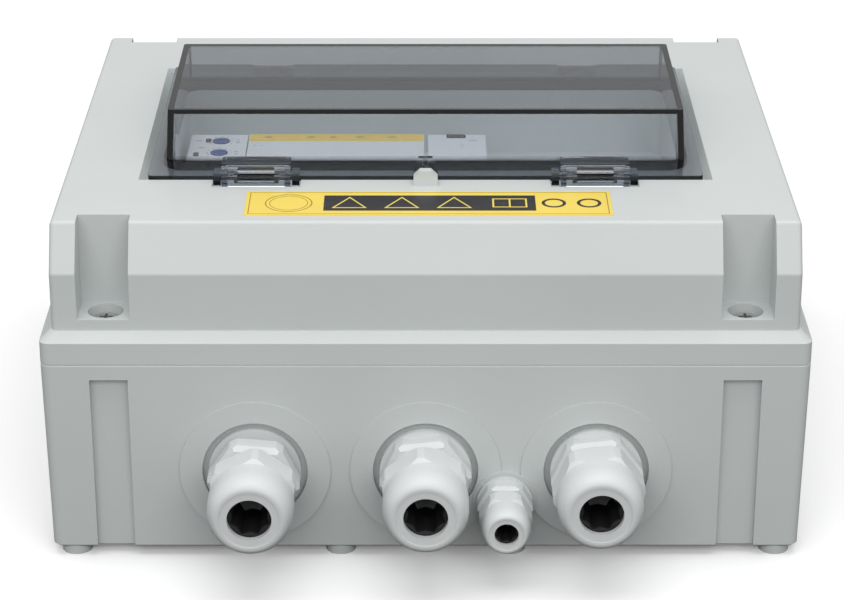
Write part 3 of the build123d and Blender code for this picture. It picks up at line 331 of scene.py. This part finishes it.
def smoke_window():
    """The window's tinted plastic, with painted shade: darker in its top and flange, black where faces of the hood
    meet.
    """
    hood = Paint("smoke_window", (1.0, 1.0, 1.0), 0.0)
    hood.grain(14.0, 0.00002)
    hood.set(Transmission_Weight=1.0, IOR=PLASTIC_IOR)
    hood.absorb((0.30, 0.35, 0.40), 235.0)
    hood.set(Specular_IOR_Level=0.14)
    sides = (
        hood.beyond("X", HOOD_HALF_WIDTH, HOOD_SIDE_TAPER),
        hood.beyond("X", -HOOD_HALF_WIDTH, -HOOD_SIDE_TAPER),
        hood.beyond("Y", HOOD_REAR, HOOD_REAR_TAPER),
        hood.beyond("Y", HOOD_FRONT, -HOOD_FRONT_TAPER),
        hood.beyond("Z", HOOD_TOP),
    )
    total = sides[0]
    for side in sides[1:]:
        total = hood.sum_of(total, side, 1.0)
    # painted shade: darker base colour on the hood's top
    hood.tint_where(sides[-1], TOP_PAINTED_SHADE)
    # painted shade: near-black base colour where two faces of the hood meet
    hood.tint_where(hood.above(total, MORE_THAN_ONE_FACE), EDGE_PAINTED_SHADE)
    # painted shade: darker base colour on the flange
    hood.tint_where(hood.below_flange(), FLANGE_PAINTED_SHADE)
    return hood.lets_lamps_through(SHADOW_TINT)


def ink(name, colour, roughness, scale, amount):
    """A thin printed colour."""
    paint = Paint(name, colour, roughness)
    return paint.mottle(scale, amount).uneven(90.0, 0.05).grain(500.0, 0.000005)


def make_paints():
    """A finish for each of the record's material slots, the window and the inks."""
    smoke = Paint("smoke", (1.0, 1.0, 1.0), 0.0)
    smoke.grain(14.0, 0.00002)
    smoke.set(Transmission_Weight=1.0, IOR=PLASTIC_IOR)
    smoke.absorb((0.30, 0.36, 0.44), 230.0)
    smoke.lets_lamps_through(SHADOW_TINT)
    hood = smoke_window()
    rubber = Paint("black_rubber", (0.012, 0.012, 0.013), 0.55).uneven(200.0, 0.1).grain(800.0, 0.00004)
    rubber.mottle(60.0, 0.2)
    foam = Paint("foam", (0.03, 0.03, 0.03), 0.85).mottle(300.0, 0.3).grain(1500.0, 0.0002)
    label = Paint("label", (0.84, 0.64, 0.10), 0.3).mottle(40.0, 0.02).uneven(80.0, 0.04)
    label.grain(300.0, 0.00001)
    dial = Paint("blue_dial", (0.005, 0.05, 0.24), 0.35).mottle(300.0, 0.1).uneven(300.0, 0.05)
    dial.grain(1200.0, 0.00002)
    black = ink("ink_black", (0.012, 0.012, 0.014), 0.35, 60.0, 0.2)
    brown = ink("ink_brown", (0.30, 0.20, 0.03), 0.4, 90.0, 0.1)
    grey = ink("ink_grey", (0.10, 0.10, 0.11), 0.5, 90.0, 0.1)
    trim = Paint("dark_trim", (0.03, 0.03, 0.035), 0.25).mottle(200.0, 0.15).uneven(200.0, 0.05)
    trim.grain(800.0, 0.00001)
    return {
        "enclosure": moulded("enclosure", (0.56, 0.59, 0.585), 0.42),
        "smoke": smoke,
        "smoke_window": hood,
        "foam": foam,
        "label": label,
        "zinc": plated("zinc", (0.62, 0.62, 0.60)),
        "brass": plated("brass", (0.72, 0.50, 0.20)),
        "black_rubber": rubber,
        "gland_nylon": moulded("gland_nylon", (0.63, 0.65, 0.65), 0.42, 0.00002),
        "rail_steel": plated("rail_steel", (0.60, 0.61, 0.62), 0.35),
        "device_housing": moulded("device_housing", (0.70, 0.72, 0.74), 0.5, 0.00002),
        "blue_dial": dial,
        "marker": moulded("marker", (0.84, 0.60, 0.08), 0.4, 0.00001),
        "dark_trim": trim,
        "ink_black": black,
        "ink_brown": brown,
        "ink_grey": grey,
        "grey_nylon": moulded("grey_nylon", (0.22, 0.23, 0.24)),
        "green_nylon": moulded("green_nylon", (0.04, 0.28, 0.08)),
        "blue_nylon": moulded("blue_nylon", (0.02, 0.12, 0.42)),
    }


def dress_cad_nodes(paints):
    """Gives each CAD node its slot's finish, or its own where it has one."""
    for subpart in record["subparts"]:
        piece = nodes[subpart["node"]]
        paint = paints[PAINT_OF_NODE.get(subpart["node"], subpart["material_slot"])]
        if not piece.material_slots:
            piece.data.materials.append(paint.material)
        for slot in piece.material_slots:
            slot.material = paint.material


# ---------------------------------------------------------------- printed marks and shaped rubber
LABEL_LEFT = -70.5 * MM
LABEL_FRONT = -109.4 * MM
LABEL_TOP = 138.7 * MM
# the middle of the label's height, its three signs and its two rings, in millimetres from its corner
LABEL_MIDDLE = 13.0
LABEL_SIGNS = (40.7, 61.2, 81.7)
LABEL_RINGS = (120.7, 134.5)
DEVICE_FACE = 124.3 * MM
MARKER_RISE = 0.4 * MM
# the two dials of the left device: their shared x, each y, and the ring of ticks round them
DIAL_X = -87.8
DIAL_YS = (14.0, -0.4)
TICK_RADIUS = 5.2
TICKS = 9
TICK_STEP = 30.0
TICK_START = -30.0
TICK_SIZE = 0.55
DASH_DEPTH = 0.5
INK = 0.04 * MM
CIRCLE_STEPS = 64
TRIANGLE_TURNS = [math.radians(turn) for turn in (90.0, 210.0, 330.0)]
SEAL_STEPS = 192
SEAL_LOBES = 8
SEAL_EDGE = 0.4 * MM
SEAL_EDGE_DEPTH = 0.7 * MM
# the widest and narrowest radius of the seal's way, as shares of its outer radius
SEAL_WIDE = 0.745
SEAL_NARROW = 0.617
GLANDS = ("gland_left", "gland_middle", "gland_right", "gland_small")


def circle(x, y, radius, steps=CIRCLE_STEPS):
    """Points round a circle."""
    turns = [2 * math.pi * step / steps for step in range(steps)]
    return [(x + radius * math.cos(turn), y + radius * math.sin(turn)) for turn in turns]


def box_corners(x, y, width, depth):
    """The corners of a rectangle round a centre."""
    half_w, half_d = width / 2, depth / 2
    return [
        (x - half_w, y - half_d),
        (x + half_w, y - half_d),
        (x + half_w, y + half_d),
        (x - half_w, y + half_d),
    ]


class Print:
    """A flat printed layer: outlines and filled shapes at one height, drawn in millimetres from a corner."""

    def __init__(self, name, body, slot, paint, origin, height):
        self.name, self.body, self.slot, self.paint = name, body, slot, paint
        self.origin, self.height = origin, height
        self.form = bmesh.new()

    def spot(self, x, y):
        return self.form.verts.new((self.origin[0] + x * MM, self.origin[1] + y * MM, self.height))

    def fill(self, points):
        self.form.faces.new([self.spot(x, y) for x, y in points])

    def bar(self, x, y, width, depth):
        """A filled rectangle round a centre."""
        self.fill(box_corners(x, y, width, depth))

    def outline(self, outer, inner):
        """A closed line between two loops of as many points."""
        rim = [self.spot(x, y) for x, y in outer]
        core = [self.spot(x, y) for x, y in inner]
        for index in range(len(rim)):
            after = (index + 1) % len(rim)
            self.form.faces.new((rim[index], rim[after], core[after], core[index]))

    def frame(self, x, y, width, depth, line):
        """The outline of a rectangle round a centre."""
        inner = box_corners(x, y, width - 2 * line, depth - 2 * line)
        self.outline(box_corners(x, y, width, depth), inner)

    def ring(self, x, y, radius, line):
        """A circle's outline."""
        self.outline(circle(x, y, radius), circle(x, y, radius - line))

    def triangle(self, x, y, side, line):
        """An upright triangle's outline round its centre."""
        loops = []
        for radius in (side / math.sqrt(3), side / math.sqrt(3) - 2 * line):
            corners = [(x + radius * math.cos(turn), y + radius * math.sin(turn)) for turn in TRIANGLE_TURNS]
            loops.append(corners)
        self.outline(*loops)

    def finish(self):
        """Thickens the layer to a film of ink and hangs it on its body."""
        sheet = list(self.form.faces)
        raised = bmesh.ops.extrude_face_region(self.form, geom=sheet)["geom"]
        top = [item for item in raised if isinstance(item, bmesh.types.BMVert)]
        bmesh.ops.translate(self.form, vec=(0.0, 0.0, INK), verts=top)
        bmesh.ops.recalc_face_normals(self.form, faces=self.form.faces)
        add_piece(self.name, self.body, self.form, self.paint)


def add_piece(name, body, form, paint):
    """Turns a bmesh into an object that rides on a body."""
    mesh = bpy.data.meshes.new(name)
    form.to_mesh(mesh)
    form.free()
    mesh.materials.append(paint.material)
    piece = bpy.data.objects.new(name, mesh)
    bpy.context.scene.collection.objects.link(piece)
    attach(piece, body)
    return piece


def print_label(paints):
    """Generic print on the rating label: border, ring, black panel with empty triangles, two rings."""
    origin = (LABEL_LEFT, LABEL_FRONT)
    brown = Print("label_border", "lid", "label", paints["ink_brown"], origin, LABEL_TOP)
    brown.frame(71.65, 12.95, 140.6, 23.2, 0.35)
    brown.ring(16.9, 12.9, 9.3, 0.45)
    brown.ring(16.9, 12.9, 7.6, 0.3)
    brown.finish()
    black = Print("label_panel", "lid", "label", paints["ink_black"], origin, LABEL_TOP)
    black.bar(72.1, LABEL_MIDDLE, 82.9, 16.3)
    for x in LABEL_RINGS:
        black.ring(x, LABEL_MIDDLE, 4.8, 1.3)
    black.finish()
    yellow = Print("label_signs", "lid", "label", paints["label"], origin, LABEL_TOP + INK)
    for x in LABEL_SIGNS:
        yellow.triangle(x, 11.6, 13.8, 0.62)
    yellow.frame(103.4, LABEL_MIDDLE, 13.6, 9.4, 0.7)
    yellow.bar(103.4, LABEL_MIDDLE, 0.7, 8.0)
    yellow.finish()


def print_devices(paints):
    """Tick marks round the dials, and plain dashes on the device faces and the marker strips."""
    ticks = Print("device_ticks", "box", "device_housing", paints["ink_black"], (0.0, 0.0), DEVICE_FACE)
    for y in DIAL_YS:
        for step in range(TICKS):
            turn = math.radians(TICK_START + TICK_STEP * step)
            x, tick_y = DIAL_X + TICK_RADIUS * math.cos(turn), y + TICK_RADIUS * math.sin(turn)
            ticks.bar(x, tick_y, TICK_SIZE, TICK_SIZE)
        for offset in (-1.6, 1.2):
            ticks.bar(-80.6, y + offset, 1.5, DASH_DEPTH)
    ticks.finish()
    marks = Print("device_marks", "box", "device_housing", paints["ink_grey"], (0.0, 0.0), DEVICE_FACE)
    for x, y, width in (
        (-97.6, 14.2, 3.0),
        (-95.6, 5.6, 3.0),
        (15.6, 10.0, 1.4),
        (15.6, 6.6, 1.4),
        (20.6, 14.8, 3.6),
        (-73.0, 8.6, 1.2),
        (-70.0, 8.6, 1.2),
    ):
        marks.bar(x, y, width, DASH_DEPTH)
    marks.finish()
    face = DEVICE_FACE + MARKER_RISE
    dashes = Print("marker_dashes", "box", "marker", paints["ink_grey"], (0.0, 0.0), face)
    for x, width in ((-67.6, 3.2), (-49.2, 3.0), (-39.6, 2.4), (-28.0, 3.4), (-14.4, 3.4)):
        dashes.bar(x, 17.8, width, 0.9)
    dashes.finish()


def shape_seals(paints):
    """Gland seals with eight soft lobes round the cable's way."""
    for name in GLANDS:
        node = nodes[f"{name}_seal"]
        corners = [node.matrix_world @ Vector(corner) for corner in node.bound_box]
        low = Vector([min(corner[axis] for corner in corners) for axis in range(3)])
        high = Vector([max(corner[axis] for corner in corners) for axis in range(3)])
        outer = (high.x - low.x) / 2
        centre_x, centre_z = (high.x + low.x) / 2, (high.z + low.z) / 2
        wide, narrow = SEAL_WIDE * outer, SEAL_NARROW * outer
        form = bmesh.new()
        loops = []
        for depth, shrink in (
            (low.y, SEAL_EDGE),
            (low.y + SEAL_EDGE_DEPTH, 0.0),
            (high.y - SEAL_EDGE_DEPTH, 0.0),
            (high.y, SEAL_EDGE),
        ):
            for inside in (False, True):
                loop = []
                for step in range(SEAL_STEPS):
                    turn = 2 * math.pi * step / SEAL_STEPS
                    radius = outer - shrink
                    if inside:
                        radius = wide - (wide - narrow) * abs(math.cos(SEAL_LOBES / 2 * turn)) + shrink
                    spot = (centre_x + radius * math.cos(turn), depth, centre_z + radius * math.sin(turn))
                    loop.append(form.verts.new(spot))
                loops.append(loop)
        order = loops[0::2] + loops[1::2][::-1]
        for near, far in zip(order, order[1:] + order[:1]):
            for step in range(SEAL_STEPS):
                after = (step + 1) % SEAL_STEPS
                face = form.faces.new((near[step], near[after], far[after], far[step]))
                face.smooth = True
        bmesh.ops.recalc_face_normals(form, faces=form.faces)
        piece = add_piece(f"{name}_lobed_seal", f"{name}_insert", form, paints["black_rubber"])
        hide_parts(f"{name}_seal")


bpy.context.scene.view_settings.view_transform = "Standard"
add_camera()
add_studio()
paints = make_paints()
dress_cad_nodes(paints)

print_label(paints)
print_devices(paints)
shape_seals(paints)
